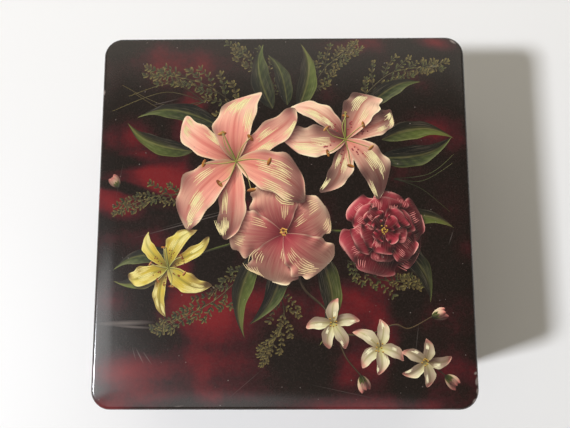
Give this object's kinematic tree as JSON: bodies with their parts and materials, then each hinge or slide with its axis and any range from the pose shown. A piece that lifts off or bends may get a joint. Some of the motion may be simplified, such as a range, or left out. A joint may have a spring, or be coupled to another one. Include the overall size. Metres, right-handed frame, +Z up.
{
  "type": "lidded keepsake box",
  "caption": "Square lacquered papier-mache box with a hinged, crowned lid, quilted satin pads inside and a baize foot.",
  "frame": {"origin": "centre of the underside, on the baize that the box stands on", "axes": "+Z up out of the lid, +Y towards the hinges at the back, -Y the front with the thumb notch, +X to the right seen from the front"},
  "size_m": [0.204, 0.2078, 0.072],
  "materials": {
    "lacquer": "gloss",
    "lining_paper": "matte",
    "card": "matte",
    "satin": "satin",
    "baize": "matte",
    "brass": "satin"
  },
  "bodies": {
    "base": {"base_shell": "lacquer", "inner_collar": "lining_paper", "floor_pad_card": "card", "floor_pad": "satin", "underside_baize": "baize", "hinge_left_base_leaf": "brass", "hinge_left_pin": "brass", "hinge_left_base_nail_a": "brass", "hinge_left_base_nail_b": "brass", "hinge_right_base_leaf": "brass", "hinge_right_pin": "brass", "hinge_right_base_nail_a": "brass", "hinge_right_base_nail_b": "brass"},
    "lid": {"lid_shell": "lacquer", "lid_pad_card": "card", "lid_pad": "satin", "hinge_left_lid_leaf": "brass", "hinge_left_lid_nail_a": "brass", "hinge_left_lid_nail_b": "brass", "hinge_right_lid_leaf": "brass", "hinge_right_lid_nail_a": "brass", "hinge_right_lid_nail_b": "brass"}
  },
  "joints": [
    {"name": "lid_hinge", "type": "hinge", "parent": "base", "child": "lid", "pos_m": [0, 0.104, 0.04725], "axis": [-1, 0, 0], "range_deg": [0, 186]}
  ]
}
